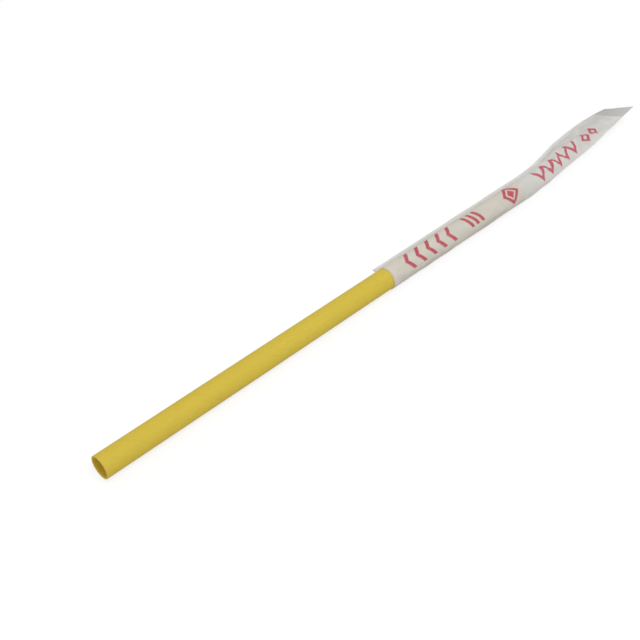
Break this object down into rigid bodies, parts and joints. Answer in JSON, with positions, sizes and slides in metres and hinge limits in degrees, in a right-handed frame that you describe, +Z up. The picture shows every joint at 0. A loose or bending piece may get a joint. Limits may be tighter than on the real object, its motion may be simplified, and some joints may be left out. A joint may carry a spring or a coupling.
{
  "type": "wrapped drinking straw",
  "caption": "Yellow paper drinking straw drawn halfway out of its thin white paper sleeve, which is flat and crimped past the straw's end.",
  "frame": {"origin": "centre of the straw's bare open end, on its axis", "axes": "+X along the straw from its bare end into the sleeve, +Z up, with the sleeve's fin towards +Y"},
  "size_m": [0.281, 0.0202, 0.0084],
  "materials": {
    "straw_paper": "matte dyed kraft paper, wound in a spiral",
    "sleeve_paper": "thin translucent white paper with pink print"
  },
  "bodies": {
    "straw": {"straw": "straw_paper"},
    "wrapper": {"wrapper": "sleeve_paper"}
  },
  "joints": [
    {"name": "wrapper_slide", "type": "slide", "parent": "straw", "child": "wrapper", "axis": [1, 0, 0], "range_m": [0, 0.09]}
  ]
}
